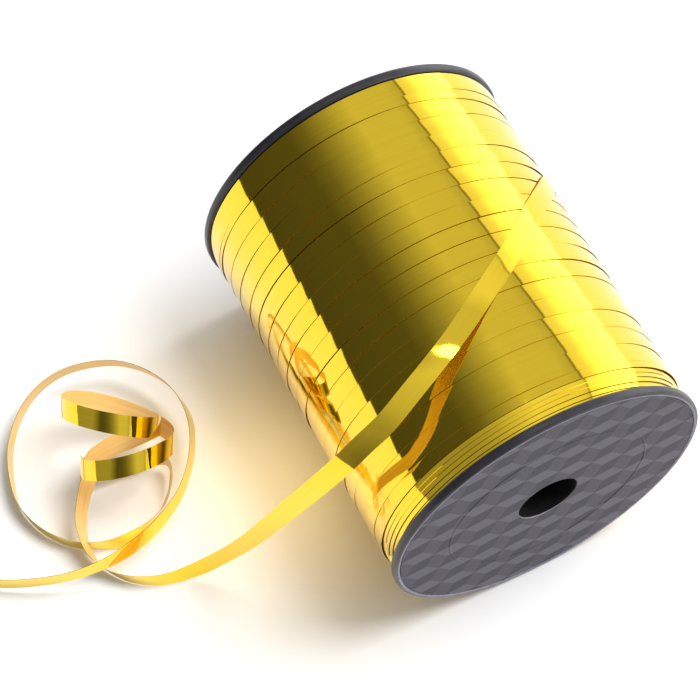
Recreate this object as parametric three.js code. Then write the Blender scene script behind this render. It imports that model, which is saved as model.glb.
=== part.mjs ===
// A spool of mirror-gold curling ribbon, lying on its side with its loose end pulled off.
//
// Frame: millimetres, +Z up. The spool's axis runs along Y, and the origin is on the table
// under the middle of the spool. The near flange faces -Y and the far flange faces +Y.
// The loose end leaves the winding on the +X side, crosses over the top, comes down on the
// -X side and curls up on the table there.

import * as THREE from "three";

// Driving dimensions.
const FLANGE_RADIUS = 40;
const SPOOL_LENGTH = 99;
const BORE_RADIUS = 7.7;
const RIM_THICKNESS = 2.4;
const RIM_WIDTH = 1.5;
const WEB_THICKNESS = 1.6;
const RIM_BEVEL = 0.5;
const LABEL_THICKNESS = 0.25;
const LABEL_GAP = 0.1;
const LABEL_RECESS = 0.5;
const CORE_RADIUS = 25;
const CORE_WALL = 2;
const SPIGOT_LENGTH = 6;
const SPIGOT_WALL = 1.4;
const COLLAR_LENGTH = 3;
const COLLAR_WALL = 1.8;
const CLEARANCE = 0.3;
const WINDING_RADIUS = 39.4;
const LAYER_STEP = 0.6;
const RIBBON_WIDTH = 5;
const RIBBON_THICKNESS = 0.4;
const LEAD_RADIUS = 40;

const FLANGE_SIDES = 32;
const CORE_SIDES = 32;
const WINDING_SIDES = 48;
const RIBBON_STEPS = 80;
const CURL_STEPS = 6;

// A flange stands on one flat of its rim, so its corners lie a little outside its radius.
const FLANGE_CORNER = FLANGE_RADIUS / Math.cos(Math.PI / FLANGE_SIDES);

const plastic = (color) => new THREE.MeshStandardMaterial({ color, roughness: 0.4, metalness: 0 });
const foil = () => new THREE.MeshStandardMaterial({ color: 0xe0a818, roughness: 0.12, metalness: 1 });
const paper = () => new THREE.MeshStandardMaterial({ color: 0x75737f, roughness: 0.85, metalness: 0 });

const part = new THREE.Group();
const spool = new THREE.Group();
spool.position.z = FLANGE_RADIUS;
part.add(spool);

function addPiece(group, name, geometry, material) {
  const mesh = new THREE.Mesh(geometry, material);
  mesh.name = name;
  group.add(mesh);
  return mesh;
}

// Turns a closed outline of [radius, place along the axis] about the Y axis. The outline runs
// anticlockwise with the radius to the right and the axis up, so the faces point out.
function turned(outline, sides) {
  const closed = [...outline, outline[0]].map(([radius, along]) => new THREE.Vector2(radius, along));
  return new THREE.LatheGeometry(closed, sides, Math.PI / sides);
}

// One moulded flange, with its outer face at 0 and the spool's inside towards +Y: a rim bead
// round a thin web, a shallow recess for the label, a short collar round the bore, and a
// round spigot that plugs into the core.
const webInside = LABEL_RECESS + WEB_THICKNESS;
const rimInside = FLANGE_RADIUS - RIM_WIDTH;
const spigotRadius = CORE_RADIUS - CORE_WALL - CLEARANCE;
const flangeOutline = [
  [BORE_RADIUS, LABEL_RECESS],
  [rimInside + LABEL_GAP, LABEL_RECESS],
  [rimInside + LABEL_GAP, 0],
  [FLANGE_CORNER - RIM_BEVEL, 0],
  [FLANGE_CORNER, RIM_BEVEL],
  [FLANGE_CORNER, RIM_THICKNESS - RIM_BEVEL],
  [FLANGE_CORNER - RIM_BEVEL, RIM_THICKNESS],
  [rimInside, RIM_THICKNESS],
  [rimInside - CLEARANCE, webInside],
  [spigotRadius, webInside],
  [spigotRadius, webInside + SPIGOT_LENGTH],
  [spigotRadius - SPIGOT_WALL, webInside + SPIGOT_LENGTH],
  [spigotRadius - SPIGOT_WALL, webInside],
  [BORE_RADIUS + COLLAR_WALL, webInside],
  [BORE_RADIUS + COLLAR_WALL, webInside + COLLAR_LENGTH],
  [BORE_RADIUS, webInside + COLLAR_LENGTH],
];

// The printed paper disc that is glued into the recess of each flange.
const labelTop = LABEL_RECESS - LABEL_GAP - LABEL_THICKNESS;
const labelOutline = [
  [BORE_RADIUS, labelTop],
  [rimInside - LABEL_GAP, labelTop],
  [rimInside - LABEL_GAP, labelTop + LABEL_THICKNESS],
  [BORE_RADIUS, labelTop + LABEL_THICKNESS],
];

for (const [side, turn] of [["near", 0], ["far", Math.PI]]) {
  const end = new THREE.Group();
  end.rotation.z = turn;
  const outerFace = new THREE.Vector3(0, -SPOOL_LENGTH / 2, 0);
  addPiece(end, `${side}_flange`, turned(flangeOutline, FLANGE_SIDES), plastic(0x3c3b40)).position.copy(outerFace);
  addPiece(end, `${side}_label`, turned(labelOutline, FLANGE_SIDES), paper()).position.copy(outerFace);
  spool.add(end);
}

// The core tube between the two flanges, which the ribbon is wound on.
const coreEnd = SPOOL_LENGTH / 2 - webInside - CLEARANCE;
const coreOutline = [
  [CORE_RADIUS - CORE_WALL, -coreEnd],
  [CORE_RADIUS, -coreEnd],
  [CORE_RADIUS, coreEnd],
  [CORE_RADIUS - CORE_WALL, coreEnd],
];
addPiece(spool, "core_tube", turned(coreOutline, CORE_SIDES), plastic(0x1b1a1c));

// The wound ribbon. The last turns stop short of the near flange in two steps.
const woundEnd = SPOOL_LENGTH / 2 - RIM_THICKNESS - CLEARANCE;
const woundOutline = [
  [CORE_RADIUS + CLEARANCE, -woundEnd],
  [WINDING_RADIUS - 2 * LAYER_STEP, -woundEnd],
  [WINDING_RADIUS - 2 * LAYER_STEP, -woundEnd + RIBBON_WIDTH / 2],
  [WINDING_RADIUS - LAYER_STEP, -woundEnd + RIBBON_WIDTH / 2],
  [WINDING_RADIUS - LAYER_STEP, -woundEnd + RIBBON_WIDTH],
  [WINDING_RADIUS, -woundEnd + RIBBON_WIDTH],
  [WINDING_RADIUS, woundEnd],
  [CORE_RADIUS + CLEARANCE, woundEnd],
];
addPiece(spool, "wound_ribbon", turned(woundOutline, WINDING_SIDES), foil());

// The loose ribbon's route, from the spool to its cut end. Each point has its place and the
// direction of the ribbon's width there, because a flat ribbon is twisted as it goes.

// Over the winding: [degrees past the top towards -X, place along the spool].
const LEAD = [
  [-100, 23], [-84, 21], [-67, 16.8], [-50, 10], [-33, 2], [-17, -6.5], [-3, -13],
];

// Springing off the winding in an arc, down to the table and along it on its edge:
// [x, y, z, width direction].
const DOWN = [
  [-8.7, -19.7, 80.6, -0.2, 0.97, 0], [-16.5, -23.7, 79.9, -0.3, 0.94, 0.03],
  [-25.3, -27.5, 78, -0.36, 0.92, 0.08], [-32.6, -30.2, 75.3, -0.38, 0.9, 0.14],
  [-38.6, -30.9, 71.3, -0.36, 0.88, 0.22], [-44, -30.9, 65.8, -0.34, 0.86, 0.32],
  [-48.5, -29.2, 57.5, -0.38, 0.8, 0.42], [-53.1, -26.4, 46.5, -0.46, 0.7, 0.5],
  [-58.1, -23.1, 34, -0.54, 0.58, 0.58], [-63.5, -19.5, 21, -0.56, 0.45, 0.68],
  [-69.1, -16, 11, -0.4, 0.36, 0.83], [-74.7, -13.6, 5, -0.15, 0.3, 0.94],
  [-81.9, -11.7, 3, -0.02, 0.15, 0.99], [-87.4, -9.2, 2.9, -0.02, 0, 1],
  [-91.1, -6.2, 2.8, -0.09, -0.1, 0.99], [-93.6, -3, 3, -0.13, -0.29, 0.95],
];

// Up from the table into the curl, leaning outwards.
const RISE = [
  [-95.3, 1, 4.4, -0.31, -0.42, 0.85], [-95.5, 5.1, 6.2, -0.47, -0.31, 0.83],
  [-94.1, 9.8, 8.4, -0.57, -0.07, 0.82], [-90.9, 14.4, 10.2, -0.52, 0.14, 0.84],
  [-87.9, 17.9, 10.9, -0.48, 0.35, 0.81], [-85.7, 21.7, 10.2, -0.1, 0.65, 0.73],
];

// The small curl goes round a leaning axis in half turns, each of them in front of the axis
// or behind it: [side at its start, side at its end, place along the axis at its start and
// at its end, bulge along the axis between them, reach to the front, first step].
const CURL_CENTRE = new THREE.Vector3(-78.6, 18.9, 17.5);
const CURL_ACROSS = new THREE.Vector3(0.887, -0.461, 0);
const CURL_AXIS = new THREE.Vector3(0.36, 0.692, 0.626);
const CURL_FRONT = new THREE.Vector3(-0.289, -0.555, 0.78);
const CURL = [
  [-8.8, 9.8, -3.2, 5.2, -2.2, -11.5, 2],
  [9.8, -14, 5.2, 10.2, 0.9, 12.5, 1],
  [-14, 13.1, 10.2, 1.3, 0.6, -12.5, 1],
  [13.1, -9.7, 1.3, -4.4, -0.9, 11.5, 1],
];

// Under the curl's front to its far side, and down from it to the table.
const FALL = [
  [-88.3, 21, 10.5, 0.36, 0.69, 0.63], [-85.9, 20.8, 7, 0.36, 0.6, 0.7], [-82.5, 20.2, 5, 0.3, 0.5, 0.8],
  [-78.9, 19.5, 4.3, 0.16, 0.41, 0.9], [-75.1, 18.7, 4.4, 0, 0.36, 0.93], [-71.7, 17.9, 5, -0.08, 0.31, 0.94],
  [-69.2, 16.3, 6, -0.05, 0.2, 0.97], [-68.6, 13.8, 6.8, 0.05, 0, 1], [-69.4, 11, 6.9, 0.1, -0.21, 0.97],
  [-71.4, 7.9, 6.2, 0.03, -0.37, 0.93], [-74.6, 5.2, 4.9, -0.02, -0.4, 0.92],
];

// The wide hoop, which stands on its edge and climbs over its own start.
const HOOP = [
  [-79.2, 3, 3.6, -0.12, -0.09, 0.99], [-84.8, 1.9, 3.1, -0.06, 0.26, 0.96], [-90.5, 3, 2.9, -0.01, 0.03, 1],
  [-96.2, 5.7, 2.8, -0.06, -0.07, 1], [-100.7, 9.9, 2.8, -0.08, -0.06, 1], [-104, 15.7, 2.8, -0.09, -0.05, 0.99],
  [-105.4, 22.6, 3, -0.14, -0.04, 0.99], [-104, 30, 3.3, -0.19, -0.01, 0.98], [-101.2, 36.8, 3.9, -0.18, -0.01, 0.98],
  [-96.5, 42.7, 4.8, -0.14, -0.06, 0.99], [-90.2, 47, 6.1, -0.15, -0.11, 0.98], [-82.8, 48.5, 7.5, -0.18, -0.12, 0.97],
  [-75.4, 47, 8.9, -0.21, -0.1, 0.97], [-68.5, 43.4, 10.1, -0.25, -0.07, 0.97], [-63.1, 37.3, 11.3, -0.28, -0.02, 0.96],
  [-59.7, 29.3, 12.4, -0.3, 0.05, 0.95], [-59.4, 21.1, 13.2, -0.3, 0.11, 0.95], [-61.7, 14.1, 13.6, -0.19, 0.1, 0.98],
  [-65.4, 8.2, 13.4, -0.16, 0.04, 0.99], [-70.6, 2.9, 12.6, -0.18, 0.04, 0.98],
];

// Out along the table to the cut end.
const END = [
  [-78.5, -1.3, 11.3, -0.21, 0.12, 0.97], [-86.8, -3.4, 9.9, -0.19, 0.19, 0.96], [-94.4, -3.6, 8.6, -0.17, 0.08, 0.98],
  [-102.6, -2.1, 7, -0.18, 0.04, 0.98], [-110.6, 1.1, 5.4, -0.17, 0.05, 0.98], [-117.7, 5, 4, -0.13, 0.07, 0.99],
  [-123.3, 9.2, 3.2, -0.05, 0.07, 1], [-128.1, 13.9, 2.9, 0, 0.06, 1],
];

const places = [];
const widths = [];

function addPoint(x, y, z, ...width) {
  places.push(new THREE.Vector3(x, y, z));
  widths.push(new THREE.Vector3(...width));
}

for (const [degrees, along] of LEAD) {
  const angle = THREE.MathUtils.degToRad(degrees);
  addPoint(-LEAD_RADIUS * Math.sin(angle), along, FLANGE_RADIUS + LEAD_RADIUS * Math.cos(angle), 0, 1, 0);
}
DOWN.forEach((point) => addPoint(...point));
RISE.forEach((point) => addPoint(...point));
for (const [startSide, endSide, startAlong, endAlong, bulge, reach, firstStep] of CURL) {
  for (let step = firstStep; step <= CURL_STEPS; step++) {
    const angle = (Math.PI * step) / CURL_STEPS;
    const share = (1 - Math.cos(angle)) / 2;
    const place = CURL_CENTRE.clone()
      .addScaledVector(CURL_ACROSS, startSide + (endSide - startSide) * share)
      .addScaledVector(CURL_AXIS, startAlong + (endAlong - startAlong) * share + bulge * Math.sin(angle))
      .addScaledVector(CURL_FRONT, reach * Math.sin(angle));
    addPoint(...place, ...CURL_AXIS);
  }
}
[...FALL, ...HOOP, ...END].forEach((point) => addPoint(...point));

// A smooth line through the route's points that also carries the ribbon's width direction.
class RibbonLine extends THREE.CatmullRomCurve3 {
  constructor(points, directions) {
    super(points, false, "centripetal");
    this.arcLengthDivisions = 2000;
    this.directions = new THREE.CatmullRomCurve3(directions, false, "catmullrom");
  }

  computeFrenetFrames(steps) {
    const frames = { tangents: [], normals: [], binormals: [] };
    for (let step = 0; step <= steps; step++) {
      const tangent = this.getTangentAt(step / steps);
      const width = this.directions.getPoint(this.getUtoTmapping(step / steps));
      width.addScaledVector(tangent, -width.dot(tangent)).normalize();
      frames.tangents.push(tangent);
      frames.normals.push(width);
      frames.binormals.push(new THREE.Vector3().crossVectors(tangent, width));
    }
    return frames;
  }
}

const section = new THREE.Shape([
  new THREE.Vector2(-RIBBON_WIDTH / 2, -RIBBON_THICKNESS / 2),
  new THREE.Vector2(RIBBON_WIDTH / 2, -RIBBON_THICKNESS / 2),
  new THREE.Vector2(RIBBON_WIDTH / 2, RIBBON_THICKNESS / 2),
  new THREE.Vector2(-RIBBON_WIDTH / 2, RIBBON_THICKNESS / 2),
]);
const ribbonLine = new RibbonLine(places, widths);
const looseRibbon = new THREE.ExtrudeGeometry(section, { steps: RIBBON_STEPS, extrudePath: ribbonLine });
addPiece(part, "free_ribbon", looseRibbon, foil());

export default part;
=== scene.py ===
import math

import bpy
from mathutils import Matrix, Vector, noise


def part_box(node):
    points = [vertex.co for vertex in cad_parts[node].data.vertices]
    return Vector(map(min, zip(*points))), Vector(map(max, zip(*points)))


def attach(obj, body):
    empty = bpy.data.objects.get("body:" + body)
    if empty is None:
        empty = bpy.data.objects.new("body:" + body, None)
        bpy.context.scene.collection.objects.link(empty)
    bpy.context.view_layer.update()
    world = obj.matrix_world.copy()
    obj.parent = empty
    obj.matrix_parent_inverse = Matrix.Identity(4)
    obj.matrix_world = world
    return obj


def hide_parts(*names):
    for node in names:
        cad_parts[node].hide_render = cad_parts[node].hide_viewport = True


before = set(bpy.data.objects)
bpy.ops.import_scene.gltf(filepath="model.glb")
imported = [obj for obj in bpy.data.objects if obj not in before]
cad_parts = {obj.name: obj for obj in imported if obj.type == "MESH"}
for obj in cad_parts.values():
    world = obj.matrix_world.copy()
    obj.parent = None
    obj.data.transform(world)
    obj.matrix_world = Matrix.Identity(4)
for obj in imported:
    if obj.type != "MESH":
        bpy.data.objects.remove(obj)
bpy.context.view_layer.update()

# The camera. It looks down on the spool from the near left side, through a long lens, so the
# two flanges look nearly the same size.
CAMERA_PLACE = (-0.16156, -0.26125, 0.61046)
CAMERA_TILT = 27.834
CAMERA_HEADING = -27.465
CAMERA_LENS = 140.06
CAMERA_SENSOR = 36

bpy.ops.object.select_all(action="DESELECT")
bpy.ops.object.camera_add(
    location=CAMERA_PLACE,
    rotation=(math.radians(CAMERA_TILT), 0, math.radians(CAMERA_HEADING)),
)
camera = bpy.context.object
camera.name = "camera"
camera.data.lens = CAMERA_LENS
camera.data.sensor_width = CAMERA_SENSOR
bpy.context.scene.camera = camera
bpy.context.scene.view_settings.view_transform = "Standard"

# The loose ribbon. It is a strip of metallised polyester film, mirror gold on the outside and
# matt gold on the inside. It leaves the winding low on the +X side, crosses the top, springs down
# to the table, and keeps the curls and the hoop that a scissor blade gave it.
AXIS_HEIGHT = sum(corner[2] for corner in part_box("near_flange")) / 2
RIBBON_WIDTH = 0.005
FILM_THICKNESS = 0.00012
FILM_CROWN = 0.00003
FILM_COLUMNS = 4
SMOOTH_BELOW = math.radians(35)
TONE_START, TONE_END = 0.3, 0.7
STEPS_BETWEEN_POINTS = 6

# Over the winding: degrees past the top towards -X, and the place along the spool. The ribbon
# lies rolled a little, with its width in one direction all the way.
LEAD_RADIUS = 0.04
LEAD_WIDTH = (0, 1, 0.14)
LEAD = [
    (-100, 0.023), (-84, 0.021), (-67, 0.0168), (-50, 0.01), (-33, 0.002), (-17, -0.0065),
    (-3, -0.013),
]

# Off the winding in an arc, down to the table and along it on its edge: the place, then the
# direction of the ribbon's width.
DOWN = [
    (-0.0087, -0.0197, 0.0806, -0.2, 0.97, 0), (-0.0165, -0.0237, 0.0799, -0.3, 0.94, 0.03),
    (-0.0253, -0.0275, 0.078, -0.36, 0.92, 0.08), (-0.0326, -0.0302, 0.0753, -0.38, 0.9, 0.14),
    (-0.0386, -0.0309, 0.0713, -0.36, 0.88, 0.22), (-0.044, -0.0309, 0.0658, -0.34, 0.86, 0.32),
    (-0.0485, -0.0292, 0.0575, -0.38, 0.8, 0.42), (-0.0531, -0.0264, 0.0465, -0.46, 0.7, 0.5),
    (-0.0581, -0.0231, 0.034, -0.54, 0.58, 0.58), (-0.0635, -0.0195, 0.021, -0.56, 0.45, 0.68),
    (-0.0691, -0.016, 0.011, -0.4, 0.36, 0.83), (-0.0747, -0.0136, 0.005, -0.15, 0.3, 0.94),
    (-0.0819, -0.0117, 0.003, -0.02, 0.15, 0.99), (-0.0874, -0.0092, 0.0029, -0.02, 0, 1),
    (-0.0911, -0.0062, 0.0028, -0.09, -0.1, 0.99), (-0.0936, -0.003, 0.003, -0.13, -0.29, 0.95),
]

# Up from the table into the curl, leaning outwards.
RISE = [
    (-0.0953, 0.001, 0.0044, -0.31, -0.42, 0.85), (-0.0955, 0.0051, 0.0062, -0.47, -0.31, 0.83),
    (-0.0941, 0.0098, 0.0084, -0.57, -0.07, 0.82), (-0.0909, 0.0144, 0.0102, -0.52, 0.14, 0.84),
    (-0.0879, 0.0179, 0.0109, -0.48, 0.35, 0.81), (-0.0857, 0.0217, 0.0102, -0.1, 0.65, 0.73),
]

# The curl's half turns: side at the start and end, place along the axis at the start and end,
# bulge along the axis, reach to the front, and first step.
CURL_STEPS = 6
CURL_CENTRE = Vector((-0.0786, 0.0189, 0.0175))
CURL_ACROSS = Vector((0.887, -0.461, 0))
CURL_AXIS = Vector((0.36, 0.692, 0.626))
CURL_FRONT = Vector((-0.289, -0.555, 0.78))
CURL = [
    (-0.0088, 0.0098, -0.0032, 0.0052, -0.0022, -0.0115, 2),
    (0.0098, -0.014, 0.0052, 0.0102, 0.0009, 0.0125, 1),
    (-0.014, 0.0131, 0.0102, 0.0013, 0.0006, -0.0125, 1),
    (0.0131, -0.0097, 0.0013, -0.0044, -0.0009, 0.0115, 1),
]

# Under the curl to its far side, and down from it to the table.
FALL = [
    (-0.0883, 0.021, 0.0105, 0.36, 0.69, 0.63), (-0.0859, 0.0208, 0.007, 0.36, 0.6, 0.7),
    (-0.0825, 0.0202, 0.005, 0.3, 0.5, 0.8), (-0.0789, 0.0195, 0.0043, 0.16, 0.41, 0.9),
    (-0.0751, 0.0187, 0.0044, 0, 0.36, 0.93), (-0.0717, 0.0179, 0.005, -0.08, 0.31, 0.94),
    (-0.0692, 0.0163, 0.006, -0.05, 0.2, 0.97), (-0.0686, 0.0138, 0.0068, 0.05, 0, 1),
    (-0.0694, 0.011, 0.0069, 0.1, -0.21, 0.97), (-0.0714, 0.0079, 0.0062, 0.03, -0.37, 0.93),
    (-0.0746, 0.0052, 0.0049, -0.02, -0.4, 0.92),
]

# The wide hoop, which stands on its edge and climbs over its own start.
HOOP = [
    (-0.0792, 0.003, 0.0036, -0.12, -0.09, 0.99), (-0.0848, 0.0019, 0.0031, -0.06, 0.26, 0.96),
    (-0.0905, 0.003, 0.0029, -0.01, 0.03, 1), (-0.0962, 0.0057, 0.0028, -0.06, -0.07, 1),
    (-0.1007, 0.0099, 0.0028, -0.08, -0.06, 1), (-0.104, 0.0157, 0.0028, -0.09, -0.05, 0.99),
    (-0.1054, 0.0226, 0.003, -0.14, -0.04, 0.99), (-0.104, 0.03, 0.0033, -0.19, -0.01, 0.98),
    (-0.1012, 0.0368, 0.0039, -0.18, -0.01, 0.98), (-0.0965, 0.0427, 0.0048, -0.14, -0.06, 0.99),
    (-0.0902, 0.047, 0.0061, -0.15, -0.11, 0.98), (-0.0828, 0.0485, 0.0075, -0.18, -0.12, 0.97),
    (-0.0754, 0.047, 0.0089, -0.21, -0.1, 0.97), (-0.0685, 0.0434, 0.0101, -0.25, -0.07, 0.97),
    (-0.0631, 0.0373, 0.0113, -0.28, -0.02, 0.96), (-0.0597, 0.0293, 0.0124, -0.3, 0.05, 0.95),
    (-0.0594, 0.0211, 0.0132, -0.3, 0.11, 0.95), (-0.0617, 0.0141, 0.0136, -0.19, 0.1, 0.98),
    (-0.0654, 0.0082, 0.0134, -0.16, 0.04, 0.99), (-0.0706, 0.0029, 0.0126, -0.18, 0.04, 0.98),
]

# Out along the table to the cut end.
END = [
    (-0.0785, -0.0013, 0.0113, -0.21, 0.12, 0.97), (-0.0868, -0.0034, 0.0099, -0.19, 0.19, 0.96),
    (-0.0944, -0.0036, 0.0086, -0.17, 0.08, 0.98), (-0.1026, -0.0021, 0.007, -0.18, 0.04, 0.98),
    (-0.1106, 0.0011, 0.0054, -0.17, 0.05, 0.98), (-0.1177, 0.005, 0.004, -0.13, 0.07, 0.99),
    (-0.1233, 0.0092, 0.0032, -0.05, 0.07, 1), (-0.1281, 0.0139, 0.0029, 0, 0.06, 1),
]


def on_winding(degrees, along, radius):
    """The point at some degrees past the top, a place along the spool, and a radius."""
    angle = math.radians(degrees)
    return Vector((-radius * math.sin(angle), along, AXIS_HEIGHT + radius * math.cos(angle)))


def curl_points():
    """The points of the curl, half turn by half turn."""
    for start_side, end_side, start_along, end_along, bulge, reach, first_step in CURL:
        for step in range(first_step, CURL_STEPS + 1):
            angle = math.pi * step / CURL_STEPS
            share = (1 - math.cos(angle)) / 2
            side = start_side + (end_side - start_side) * share
            along = start_along + (end_along - start_along) * share + bulge * math.sin(angle)
            front = reach * math.sin(angle)
            yield CURL_CENTRE + CURL_ACROSS * side + CURL_AXIS * along + CURL_FRONT * front


def smooth_point(points, first, share, power):
    """The point a share of the way from points[first] to the next one, on a Catmull-Rom line."""
    start, end = points[first], points[first + 1]
    before = points[first - 1] if first > 0 else start * 2 - end
    after = points[first + 2] if first + 2 < len(points) else end * 2 - start
    gap_before = (start - before).length ** power or 1
    gap = (end - start).length ** power or 1
    gap_after = (after - end).length ** power or 1
    leave = (start - before) / gap_before - (end - before) / (gap_before + gap)
    arrive = (after - end) / gap_after - (after - start) / (gap + gap_after)
    leave = leave * gap + end - start
    arrive = arrive * gap + end - start
    bend = (start - end) * 2 + leave + arrive
    ease = (end - start) * 3 - leave * 2 - arrive
    return start + leave * share + ease * share ** 2 + bend * share ** 3


def ribbon_strip(name, places, widths, crown=0.0):
    """A strip of film through the places, with its mirror side at width x run, and a UV map in
    metres: across it and along it."""
    corners, faces, where, run = [], [], [], 0
    for index, place in enumerate(places):
        tangent = places[min(index + 1, len(places) - 1)] - places[max(index - 1, 0)]
        tangent.normalize()
        width = widths[index] - tangent * widths[index].dot(tangent)
        width.normalize()
        out = width.cross(tangent)
        run += (place - places[index - 1]).length if index else 0
        for column in range(FILM_COLUMNS + 1):
            side = 2 * column / FILM_COLUMNS - 1
            lift = crown * (1 - side ** 2)
            corners.append(place + width * (side * RIBBON_WIDTH / 2) + out * lift)
            where.append((side * RIBBON_WIDTH / 2, run))
    stride = FILM_COLUMNS + 1
    for index in range(len(places) - 1):
        for column in range(FILM_COLUMNS):
            low = index * stride + column
            faces.append((low, low + 1, low + stride + 1, low + stride))
    mesh = bpy.data.meshes.new(name)
    mesh.from_pydata(corners, [], faces)
    uv = mesh.uv_layers.new(name="film")
    for loop in mesh.loops:
        uv.data[loop.index].uv = where[loop.vertex_index]
    piece = bpy.data.objects.new(name, mesh)
    bpy.context.collection.objects.link(piece)
    return piece


def give_materials(piece, *materials):
    """Fills a piece's material slots in order."""
    for material in materials:
        piece.data.materials.append(material)


def thicken(piece, thickness, offset=0.0):
    """Gives a sheet its thickness, with the second material on the inner side."""
    bpy.ops.object.select_all(action="DESELECT")
    piece.select_set(True)
    bpy.context.view_layer.objects.active = piece
    solid = piece.modifiers.new("thickness", "SOLIDIFY")
    solid.thickness = thickness
    solid.offset = offset
    solid.material_offset = 1
    bpy.ops.object.modifier_apply(modifier=solid.name)
    bpy.ops.object.shade_smooth_by_angle(angle=SMOOTH_BELOW)


def new_material(name, colour, roughness, metallic=0.0):
    """A plain material, with its node tree and its shader."""
    material = bpy.data.materials.new(name)
    material.use_nodes = True
    shader = material.node_tree.nodes["Principled BSDF"]
    shader.inputs["Base Color"].default_value = (*colour, 1)
    shader.inputs["Roughness"].default_value = roughness
    shader.inputs["Metallic"].default_value = metallic
    return material, material.node_tree, shader


def film_noise(tree, scale, detail):
    """Noise that is drawn out along the film."""
    film = tree.nodes.new("ShaderNodeUVMap")
    film.uv_map = "film"
    stretch = tree.nodes.new("ShaderNodeMapping")
    stretch.inputs["Scale"].default_value = scale
    grain = tree.nodes.new("ShaderNodeTexNoise")
    grain.inputs["Scale"].default_value = 1
    grain.inputs["Detail"].default_value = detail
    tree.links.new(film.outputs["UV"], stretch.inputs["Vector"])
    tree.links.new(stretch.outputs["Vector"], grain.inputs["Vector"])
    return grain.outputs["Fac"]


def bump(tree, shader, height, depth, strength=1.0):
    """Raises the surface by a height from 0 to 1, over a depth in metres."""
    relief = tree.nodes.new("ShaderNodeBump")
    relief.inputs["Distance"].default_value = depth
    relief.inputs["Strength"].default_value = strength
    tree.links.new(height, relief.inputs["Height"])
    tree.links.new(relief.outputs["Normal"], shader.inputs["Normal"])


def two_tone(tree, shader, factor, low, high):
    """Colours the surface from one tone to another as a factor rises."""
    ramp = tree.nodes.new("ShaderNodeValToRGB")
    ramp.color_ramp.elements[0].position = TONE_START
    ramp.color_ramp.elements[0].color = (*low, 1)
    ramp.color_ramp.elements[1].position = TONE_END
    ramp.color_ramp.elements[1].color = (*high, 1)
    tree.links.new(factor, ramp.inputs["Fac"])
    tree.links.new(ramp.outputs["Color"], shader.inputs["Base Color"])


# The mirror side is vacuum metallised and lacquered: fine streaks run along it, and it ripples.
mirror_gold, tree, shader = new_material(
    "mirror gold film", (1.0, 0.7, 0.025), roughness=0.05, metallic=1
)
shader.inputs["Coat Weight"].default_value = 0.5
shader.inputs["Coat Roughness"].default_value = 0.04
streaks = film_noise(tree, scale=(1500, 25, 1), detail=3)
two_tone(tree, shader, streaks, low=(0.97, 0.67, 0.02), high=(1.0, 0.72, 0.03))
bump(tree, shader, film_noise(tree, scale=(700, 90, 1), detail=2), depth=0.000004)

# The back has no mirror layer, so it is paler and rougher.
matt_gold, tree, shader = new_material(
    "matt gold back", (0.95, 0.7, 0.3), roughness=0.4, metallic=0.25
)
streaks = film_noise(tree, scale=(900, 40, 1), detail=4)
two_tone(tree, shader, streaks, low=(0.84, 0.55, 0.19), high=(0.95, 0.68, 0.28))
bump(tree, shader, film_noise(tree, scale=(2500, 300, 1), detail=2), depth=0.00001)

points = [on_winding(degrees, along, LEAD_RADIUS) for degrees, along in LEAD]
directions = [Vector(LEAD_WIDTH) for point in LEAD]
for x, y, z, *width in DOWN + RISE:
    points.append(Vector((x, y, z)))
    directions.append(Vector(width))
for point in curl_points():
    points.append(point)
    directions.append(CURL_AXIS.copy())
for x, y, z, *width in FALL + HOOP + END:
    points.append(Vector((x, y, z)))
    directions.append(Vector(width))

route, route_widths = [], []
for first in range(len(points) - 1):
    for step in range(STEPS_BETWEEN_POINTS):
        share = step / STEPS_BETWEEN_POINTS
        route.append(smooth_point(points, first, share, power=0.5))
        route_widths.append(smooth_point(directions, first, share, power=0))
route.append(points[-1])
route_widths.append(directions[-1])

loose_ribbon = ribbon_strip("loose_ribbon", route, route_widths, crown=FILM_CROWN)
give_materials(loose_ribbon, mirror_gold, matt_gold)
thicken(loose_ribbon, FILM_THICKNESS)
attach(loose_ribbon, "root")
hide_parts("free_ribbon")

# The core tube. A plain black tube extruded from recycled plastic, pushed over the two flanges'
# spigots. It can be seen only through the bores.
CORE_SIDES = 96
CORE_WALL = 0.002
MERGE_DISTANCE = 0.000002


def turned(name, outline, sides):
    """Turns a closed outline of (radius, place along the spool) about the spool's axis."""
    radius, along = outline[0]
    bpy.ops.object.select_all(action="DESELECT")
    bpy.ops.mesh.primitive_circle_add(
        vertices=sides,
        radius=radius,
        location=(0, along, AXIS_HEIGHT),
        rotation=(math.radians(90), 0, 0),
    )
    piece = bpy.context.object
    piece.name = piece.data.name = name
    bpy.ops.object.transform_apply(location=True, rotation=True, scale=True)
    bpy.ops.object.mode_set(mode="EDIT")
    bpy.ops.mesh.select_all(action="SELECT")
    for next_radius, next_along in outline[1:] + outline[:1]:
        bpy.ops.mesh.extrude_region_move(
            TRANSFORM_OT_translate={"value": (0, next_along - along, 0)}
        )
        growth = next_radius / radius
        bpy.ops.transform.resize(
            value=(growth, 1, growth), center_override=(0, next_along, AXIS_HEIGHT)
        )
        radius, along = next_radius, next_along
    bpy.ops.mesh.select_all(action="SELECT")
    bpy.ops.mesh.remove_doubles(threshold=MERGE_DISTANCE)
    bpy.ops.mesh.normals_make_consistent(inside=False)
    bpy.ops.object.mode_set(mode="OBJECT")
    bpy.ops.object.shade_smooth_by_angle(angle=SMOOTH_BELOW)
    return piece


def object_noise(tree, scale, detail):
    """Noise that lies in the piece itself."""
    place = tree.nodes.new("ShaderNodeTexCoord")
    grain = tree.nodes.new("ShaderNodeTexNoise")
    grain.inputs["Scale"].default_value = scale
    grain.inputs["Detail"].default_value = detail
    tree.links.new(place.outputs["Object"], grain.inputs["Vector"])
    return grain.outputs["Fac"]


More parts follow.
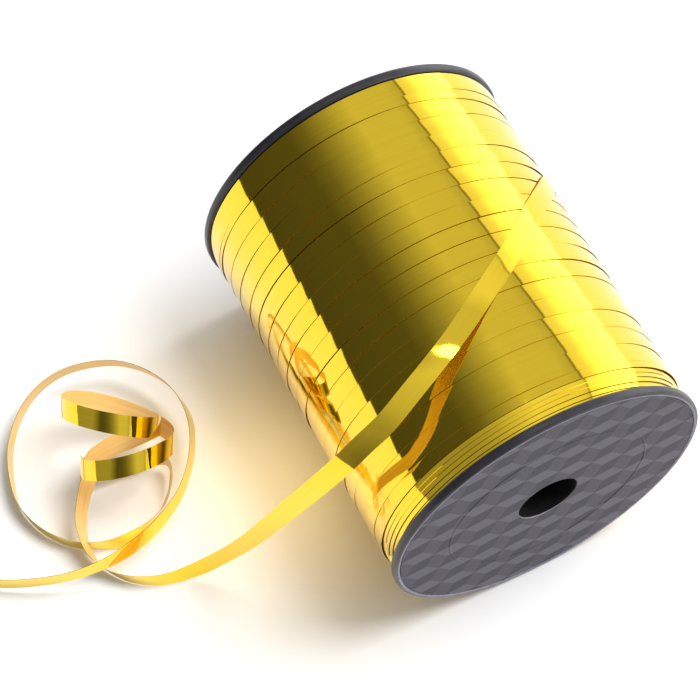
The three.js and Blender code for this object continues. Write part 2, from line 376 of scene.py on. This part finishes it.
core_low, core_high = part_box("core_tube")
core_radius = (core_high[0] - core_low[0]) / 2
core_outline = [
    (core_radius - CORE_WALL, core_low[1]),
    (core_radius, core_low[1]),
    (core_radius, core_high[1]),
    (core_radius - CORE_WALL, core_high[1]),
]

# The same near-black also goes on the flanges' bore faces, as painted shade there.
black_plastic_and_bore_shade, tree, shader = new_material(
    "black core plastic and bore shade", (0.006, 0.006, 0.006), roughness=0.7
)
shader.inputs["Specular IOR Level"].default_value = 0.2
clouding = object_noise(tree, scale=300, detail=4)
two_tone(tree, shader, clouding, low=(0.004, 0.004, 0.004), high=(0.01, 0.01, 0.01))
bump(tree, shader, object_noise(tree, scale=1200, detail=3), depth=0.00005)

core = turned("core_tube_fine", core_outline, CORE_SIDES)
give_materials(core, black_plastic_and_bore_shade)
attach(core, "root")
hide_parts("core_tube")

# The two flanges. Each is moulded in charcoal polystyrene: a rounded rim bead round a thin web,
# a recess for the label, a collar round the bore, and a spigot that plugs into the core.
FLANGE_SIDES = 192
FLANGE_RADIUS = 0.04
BORE_RADIUS = 0.0077
BORE_BEVEL = 0.0002
RIM_ROUND = 0.0008
RIM_THICKNESS = 0.0024
RIM_INSIDE = 0.0385
RIM_SLOPE = 0.0003
LABEL_RECESS = 0.0005
WEB_INSIDE = 0.0021
SPIGOT_RADIUS = 0.0227
SPIGOT_WALL = 0.0014
SPIGOT_END = 0.0081
COLLAR_WALL = 0.0018
COLLAR_END = 0.0051
ARC_STEPS = 6

# The corner between the recess and the rim: past the rim's inside, and the depth.
RIM_CORNER = [(0.0001, LABEL_RECESS), (0.0001, 0.0003), (0.0002, 0.0001), (0.0004, 0)]

# A face is an end face where its normal has at least this much along the spool. The rim's end
# face is painted lighter out to the radius below: a painted highlight, for the rim bead's sheen.
END_FACING = 0.3
RIM_HIGHLIGHT_RADIUS = 0.0391


def corner_arc(radius, depth, round_radius, start):
    """A quarter round about a centre, from a start angle in degrees, as (radius, depth) points."""
    for step in range(ARC_STEPS + 1):
        angle = math.radians(start + 90 * step / ARC_STEPS)
        yield radius + round_radius * math.cos(angle), depth + round_radius * math.sin(angle)


flange_outline = [
    (BORE_RADIUS, LABEL_RECESS + BORE_BEVEL),
    (BORE_RADIUS + BORE_BEVEL, LABEL_RECESS),
    *((RIM_INSIDE + past, depth) for past, depth in RIM_CORNER),
    *corner_arc(FLANGE_RADIUS - RIM_ROUND, RIM_ROUND, RIM_ROUND, -90),
    *corner_arc(FLANGE_RADIUS - RIM_ROUND, RIM_THICKNESS - RIM_ROUND, RIM_ROUND, 0),
    (RIM_INSIDE, RIM_THICKNESS),
    (RIM_INSIDE - RIM_SLOPE, WEB_INSIDE),
    (SPIGOT_RADIUS, WEB_INSIDE),
    (SPIGOT_RADIUS, SPIGOT_END),
    (SPIGOT_RADIUS - SPIGOT_WALL, SPIGOT_END),
    (SPIGOT_RADIUS - SPIGOT_WALL, WEB_INSIDE),
    (BORE_RADIUS + COLLAR_WALL, WEB_INSIDE),
    (BORE_RADIUS + COLLAR_WALL, COLLAR_END),
    (BORE_RADIUS, COLLAR_END),
]

charcoal, tree, shader = new_material(
    "charcoal moulded plastic", (0.02, 0.019, 0.024), roughness=0.3
)
clouding = object_noise(tree, scale=260, detail=3)
two_tone(tree, shader, clouding, low=(0.016, 0.015, 0.02), high=(0.026, 0.025, 0.032))
bump(tree, shader, object_noise(tree, scale=2200, detail=2), depth=0.00002)

# The rim's end face is a lighter grey than the charcoal, with a random mottle: painted highlight,
# the sheen the rounded rim catches.
rim_highlight, tree, shader = new_material("rim edge painted highlight", (0.2, 0.19, 0.24), roughness=0.45)
highlight_mottle = object_noise(tree, scale=700, detail=3)
two_tone(tree, shader, highlight_mottle, low=(0.16, 0.15, 0.2), high=(0.25, 0.24, 0.3))

near_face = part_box("near_flange")[0][1]
far_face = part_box("far_flange")[1][1]
for side, face, inward in (("near", near_face, 1), ("far", far_face, -1)):
    outline = [(radius, face + inward * depth) for radius, depth in flange_outline]
    flange = turned(side + "_flange_fine", outline, FLANGE_SIDES)
    give_materials(flange, charcoal, rim_highlight, black_plastic_and_bore_shade)
    for polygon in flange.data.polygons:
        across = math.hypot(polygon.center.x, polygon.center.z - AXIS_HEIGHT)
        faces_out = polygon.normal.y * inward < -END_FACING
        if RIM_INSIDE < across < RIM_HIGHLIGHT_RADIUS and faces_out:
            polygon.material_index = 1
        # The bore's faces get the core's near-black plastic, darker than the charcoal flange:
        # painted shade inside the bore.
        elif across < BORE_RADIUS + COLLAR_WALL / 2:
            polygon.material_index = 2
    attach(flange, "root")
    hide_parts(side + "_flange")

# The two labels. Each is a disc of printed paper glued into the flange's recess, with a ring
# pressed into it and a pattern of stacked blocks in three greys.
LABEL_RADIUS = 0.0384
LABEL_TOP = 0.00015
LABEL_THICKNESS = 0.00025
LABEL_CLEARANCE = 0.00005
RING_RADIUS = 0.0257
RING_HALF_WIDTH = 0.00035
RING_HEIGHT = 0.00014
RING_STEP = 30
DARK_GREY = (0.048, 0.045, 0.057)
MID_GREY = (0.072, 0.068, 0.085)
LIGHT_GREY = (0.115, 0.109, 0.133)
DARK_STOP, MID_STOP, LIGHT_STOP = 0.1, 0.5, 0.9
SPECKLE = 0.5

# The block pattern repeats along two sides of a lattice. Each is (across, up) the disc, and so is
# the corner where it starts, measured from the bore's middle.
BLOCK_ALONG = (0.00875, -0.00375)
BLOCK_DOWN = (0.0012, -0.0094)
BLOCK_START = (-0.0069, 0.0163)


def maths(tree, operation, first, second=None, third=None):
    """One sum on two or three values, each of them a number or another node's output."""
    node = tree.nodes.new("ShaderNodeMath")
    node.operation = operation
    for socket, value in zip(node.inputs, (first, second, third)):
        if isinstance(value, (int, float)):
            socket.default_value = value
        elif value is not None:
            tree.links.new(value, socket)
    return node.outputs[0]


def lattice_share(tree, across, up, along_x, along_z):
    """How far a place is through its lattice step, along one side of the block pattern."""
    steps = maths(tree, "MULTIPLY_ADD", across, along_x, maths(tree, "MULTIPLY", up, along_z))
    return maths(tree, "FRACT", steps)


def is_least(tree, value, second, third):
    """1 where a value is less than two others, and 0 elsewhere."""
    return maths(tree, "LESS_THAN", value, maths(tree, "MINIMUM", second, third))


ring_outline = [
    (
        RING_RADIUS + RING_HALF_WIDTH * math.cos(math.radians(angle)),
        LABEL_TOP - RING_HEIGHT * math.sin(math.radians(angle)),
    )
    for angle in range(180, -1, -RING_STEP)
]
label_outline = [
    (BORE_RADIUS + LABEL_CLEARANCE, LABEL_TOP),
    *ring_outline,
    (LABEL_RADIUS, LABEL_TOP),
    (LABEL_RADIUS, LABEL_TOP + LABEL_THICKNESS),
    (BORE_RADIUS + LABEL_CLEARANCE, LABEL_TOP + LABEL_THICKNESS),
]

# A lattice step is cut into a top face and two side faces, by which of three distances is least.
printed_paper, tree, shader = new_material("printed paper", MID_GREY, roughness=0.6)
shader.inputs["Specular IOR Level"].default_value = 0.3
place = tree.nodes.new("ShaderNodeTexCoord")
parts = tree.nodes.new("ShaderNodeSeparateXYZ")
tree.links.new(place.outputs["Object"], parts.inputs["Vector"])
across = maths(tree, "SUBTRACT", parts.outputs["X"], BLOCK_START[0])
up = maths(tree, "SUBTRACT", parts.outputs["Z"], AXIS_HEIGHT + BLOCK_START[1])
block_area = BLOCK_ALONG[0] * BLOCK_DOWN[1] - BLOCK_ALONG[1] * BLOCK_DOWN[0]
along = lattice_share(tree, across, up, BLOCK_DOWN[1] / block_area, -BLOCK_DOWN[0] / block_area)
down = lattice_share(tree, across, up, -BLOCK_ALONG[1] / block_area, BLOCK_ALONG[0] / block_area)
both = maths(tree, "ADD", along, down)
flipped = maths(tree, "GREATER_THAN", both, 1)
top_share = maths(tree, "ABSOLUTE", maths(tree, "SUBTRACT", flipped, down))
left_share = maths(tree, "ABSOLUTE", maths(tree, "SUBTRACT", flipped, along))
right_share = maths(tree, "ABSOLUTE", maths(tree, "SUBTRACT", 1, both))
is_top = is_least(tree, top_share, left_share, right_share)
is_right = is_least(tree, right_share, left_share, top_share)
tone = maths(tree, "MULTIPLY_ADD", is_right, DARK_STOP - MID_STOP, MID_STOP)
tone = maths(tree, "MULTIPLY_ADD", is_top, LIGHT_STOP - MID_STOP, tone)
speckle = object_noise(tree, scale=1800, detail=2)
speckle = maths(tree, "MULTIPLY_ADD", speckle, SPECKLE, -SPECKLE / 2)
printed = tree.nodes.new("ShaderNodeValToRGB")
printed.color_ramp.elements[0].position = DARK_STOP
printed.color_ramp.elements[0].color = (*DARK_GREY, 1)
printed.color_ramp.elements[1].position = LIGHT_STOP
printed.color_ramp.elements[1].color = (*LIGHT_GREY, 1)
printed.color_ramp.elements.new(MID_STOP).color = (*MID_GREY, 1)
tree.links.new(maths(tree, "ADD", tone, speckle), printed.inputs["Fac"])
tree.links.new(printed.outputs["Color"], shader.inputs["Base Color"])
bump(tree, shader, object_noise(tree, scale=900, detail=3), depth=0.00003, strength=0.5)

bare_paper, tree, shader = new_material("cut paper edge", (0.3, 0.29, 0.32), roughness=0.8)
fibres = object_noise(tree, scale=900, detail=2)
two_tone(tree, shader, fibres, low=(0.25, 0.24, 0.27), high=(0.35, 0.34, 0.37))

for side, face, inward in (("near", near_face, 1), ("far", far_face, -1)):
    outline = [(radius, face + inward * depth) for radius, depth in label_outline]
    label = turned(side + "_label_fine", outline, FLANGE_SIDES)
    give_materials(label, printed_paper, bare_paper)
    for polygon in label.data.polygons:
        if abs(polygon.normal.y) < END_FACING:
            polygon.material_index = 1
    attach(label, "root")
    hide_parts(side + "_label")

# The wound ribbon. Some 460 m of the same film lie in turns side by side. Each turn of the last
# layer covers the edge of the one before, and near the -Y end the layers stop short in steps.
WINDING_SIDES = 192
TURN_STEPS = 144
TURN_COUNT = 19
PITCH = 0.00492
START_DEGREES = 180
TOP_RADIUS = 0.03935

# The lower layers: the radius of each step at the -Y end, its width, how far it rises over that
# width, the gap beside it, the gap round the core, and how far below the last layer the rest end.
STEP_EDGES = (0.0371, 0.0376, 0.0381, 0.0385, 0.0388)
STEP_WIDTH = 0.00105
STEP_RISE = 0.00012
STEP_GAP = 0.00005
CORE_CLEARANCE = 0.0003
LAYERS_BELOW = 0.0006

# A turn's +Y edge is tucked under, its edges wobble in and out, and it wanders along the spool.
# The lengths are how much ribbon each change takes, and the rows keep the changes apart.
TUCK, TUCK_CHANGE, TUCK_LENGTH, TUCK_ROW, TUCK_LAYER = 0.00013, 0.9, 0.13, 1.3, 5
WOBBLE, WOBBLE_LENGTH, WOBBLE_ROW = 0.00014, 0.024, 7.7
WANDER, WANDER_LENGTH, WANDER_ROW = 0.0005, 0.09, 3.1

# The rising turn: how far round it runs, how deep and how far along it starts, and how fast it
# comes up and over.
RISE_STEPS = 60
RISE_DEGREES = 100
RISE_DEPTH = 0.0002
RISE_ALONG = 0.0035
RISE_POWER, RISE_ALONG_POWER = 0.7, 1.3

wound_low, wound_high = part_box("wound_ribbon")
winding_start, winding_end = wound_low[1], wound_high[1]
inside_radius = core_radius + CORE_CLEARANCE
body_outline = [(inside_radius, winding_start)]
edge = winding_start
for step_radius in STEP_EDGES:
    body_outline.append((step_radius, edge))
    body_outline.append((step_radius + STEP_RISE, edge + STEP_WIDTH - STEP_GAP))
    edge += STEP_WIDTH
body_outline += [
    (TOP_RADIUS - LAYERS_BELOW, edge),
    (TOP_RADIUS - LAYERS_BELOW, winding_end),
    (inside_radius, winding_end),
]
winding = turned("winding", body_outline, WINDING_SIDES)
give_materials(winding, mirror_gold, matt_gold)


def waver(run, length, row, layer=0):
    """Smooth noise that changes over a length of ribbon."""
    return noise.noise(Vector((run / length, row, layer)))


first_turn = edge + RIBBON_WIDTH / 2
last_turn = winding_end - RIBBON_WIDTH / 2
turn_places, turn_widths = [], []
for step in range(TURN_COUNT * TURN_STEPS + 1):
    turn = step / TURN_STEPS
    run = turn * math.tau * TOP_RADIUS
    free_along = (first_turn + last_turn) / 2 + PITCH * (turn - TURN_COUNT / 2)
    free_along += WANDER * waver(run, WANDER_LENGTH, WANDER_ROW)
    along = min(max(free_along, first_turn), last_turn)
    stacked = (free_along - along) / PITCH * FILM_THICKNESS
    tuck = TUCK * (1 + TUCK_CHANGE * waver(run, TUCK_LENGTH, TUCK_ROW, TUCK_LAYER))
    edges = []
    for side in (-1, 1):
        wobble = WOBBLE * waver(run, WOBBLE_LENGTH, WOBBLE_ROW * side)
        edge_radius = TOP_RADIUS - tuck * (side + 1) / 2 + wobble + stacked
        degrees = START_DEGREES + 360 * turn
        edges.append(on_winding(degrees, along + side * RIBBON_WIDTH / 2, edge_radius))
    turn_places.append((edges[0] + edges[1]) / 2)
    turn_widths.append(edges[1] - edges[0])
turns = ribbon_strip("turns", turn_places, turn_widths, crown=FILM_CROWN)
give_materials(turns, mirror_gold, matt_gold)
thicken(turns, FILM_THICKNESS / 2, offset=-1)

# The end of the last layer comes up from among the turns to where the loose ribbon starts.
rise_places, rise_widths = [], []
lead_degrees, lead_along = LEAD[0]
for step in range(RISE_STEPS + 1):
    share = step / RISE_STEPS
    degrees = lead_degrees - RISE_DEGREES * (1 - share)
    along = lead_along + RISE_ALONG * (1 - share) ** RISE_ALONG_POWER
    climb = (LEAD_RADIUS - TOP_RADIUS + RISE_DEPTH) * share ** RISE_POWER
    rise_places.append(on_winding(degrees, along, TOP_RADIUS - RISE_DEPTH + climb))
    rise_widths.append(Vector((0, 1, 0)))
rising_turn = ribbon_strip("rising_turn", rise_places, rise_widths)
give_materials(rising_turn, mirror_gold, matt_gold)
thicken(rising_turn, FILM_THICKNESS)

bpy.ops.object.select_all(action="DESELECT")
for piece in (rising_turn, turns, winding):
    piece.select_set(True)
bpy.context.view_layer.objects.active = winding
bpy.ops.object.join()
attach(winding, "root")
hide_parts("wound_ribbon")

# The table and the studio. The table top is white. The room has a bright window on the +X side
# and falls to a dim side at -X, and a broad pale panel hangs overhead.
TABLE_SIZE = 8
SKY_STRENGTH = 3
RAMP_MIDDLE = 0.5

# Round the spool's axis: degrees past the top towards -X, and the room's brightness there.
SKY = [
    (-180, 1.2), (-96, 2.4), (-90, 2.8), (-72, 2.4), (-62, 1.5), (-55, 1), (-49, 0.9),
    (-48.4, 0.12), (-47.5, 0.12), (-47, 0.5), (-38, 0.62), (-8, 0.64), (4, 0.45), (16, 0.28),
    (28, 0.15), (40, 0.09), (90, 0.07), (94, 0.5), (180, 0.9),
]

# Along the spool's axis, from -1 to 1: the panel's brightness, which is added to the room's.
CEILING = [(-1, 0), (-0.5, 0), (-0.3, 0.26), (0.2, 0.26), (0.31, 0), (1, 0)]

# The key light is as far off as a sun, and as broad as a soft box. The bounce is the glow that the
# gold throws on the table, and the glint is a small lamp that shows in the loose ribbon's bend.
KEY_PLACE = (0.42, -0.1, 0.9)
KEY_POWER = 2.5
KEY_SPREAD = 0.5
BOUNCE_PLACE, BOUNCE_AIM = (-0.05, 0, 0.035), (-0.09, 0, 0)
BOUNCE_SIZE, BOUNCE_POWER, BOUNCE_COLOUR = 0.05, 0.012, (1, 0.7, 0.25)
GLINT_PLACE, GLINT_AIM = (0.06, 0.22, 0.85), (-0.0165, -0.0237, 0.08)
GLINT_SIZE, GLINT_POWER = 0.09, 0.16

bpy.ops.object.select_all(action="DESELECT")
bpy.ops.mesh.primitive_plane_add(size=TABLE_SIZE, location=(0, 0, 0))
table = bpy.context.object
table.name = "table"
white_top, tree, shader = new_material("white table", (0.9, 0.9, 0.9), roughness=0.75)
give_materials(table, white_top)


def brightness(tree, factor, levels, span):
    """The room's brightness from (place, level) pairs, over a span that has 0 in its middle."""
    ramp = tree.nodes.new("ShaderNodeValToRGB")
    stops = ramp.color_ramp.elements
    while len(stops) < len(levels):
        stops.new(RAMP_MIDDLE)
    for stop, (place, level) in zip(stops, levels):
        grey = level / SKY_STRENGTH
        stop.position = RAMP_MIDDLE + place / span
        stop.color = (grey, grey, grey, 1)
    tree.links.new(factor, ramp.inputs["Fac"])
    return ramp.outputs["Color"]


room = bpy.data.worlds.new("room")
bpy.context.scene.world = room
room.use_nodes = True
tree = room.node_tree
background = tree.nodes["Background"]
background.inputs["Strength"].default_value = SKY_STRENGTH
looking = tree.nodes.new("ShaderNodeTexCoord")
parts = tree.nodes.new("ShaderNodeSeparateXYZ")
tree.links.new(looking.outputs["Generated"], parts.inputs["Vector"])
angle = maths(tree, "ARCTAN2", maths(tree, "MULTIPLY", parts.outputs["X"], -1), parts.outputs["Z"])
round_share = maths(tree, "MULTIPLY_ADD", angle, 1 / math.tau, RAMP_MIDDLE)
along_share = maths(tree, "MULTIPLY_ADD", parts.outputs["Y"], 0.5, RAMP_MIDDLE)
whole_sky = tree.nodes.new("ShaderNodeVectorMath")
whole_sky.operation = "ADD"
tree.links.new(brightness(tree, round_share, SKY, 360), whole_sky.inputs[0])
tree.links.new(brightness(tree, along_share, CEILING, 2), whole_sky.inputs[1])
tree.links.new(whole_sky.outputs["Vector"], background.inputs["Color"])


def soft_lamp(name, place, aim, size, power, colour=(1, 1, 1), seen_in_gold=False):
    """A round lamp that is aimed at a place, and that the gold may or may not reflect."""
    bpy.ops.object.light_add(type="AREA", location=place)
    lamp = bpy.context.object
    lamp.name = name
    lamp.data.shape = "DISK"
    lamp.data.size = size
    lamp.data.energy = power
    lamp.data.color = colour
    lamp.rotation_euler = (Vector(aim) - lamp.location).to_track_quat("-Z", "Y").to_euler()
    lamp.visible_glossy = seen_in_gold


bpy.ops.object.light_add(type="SUN", location=KEY_PLACE)
key = bpy.context.object
key.name = "key"
key.data.energy = KEY_POWER
key.data.angle = KEY_SPREAD
key.rotation_euler = key.location.to_track_quat("Z", "Y").to_euler()
key.visible_glossy = False
soft_lamp("gold bounce", BOUNCE_PLACE, BOUNCE_AIM, BOUNCE_SIZE, BOUNCE_POWER, BOUNCE_COLOUR)
soft_lamp("glint", GLINT_PLACE, GLINT_AIM, GLINT_SIZE, GLINT_POWER, seen_in_gold=True)
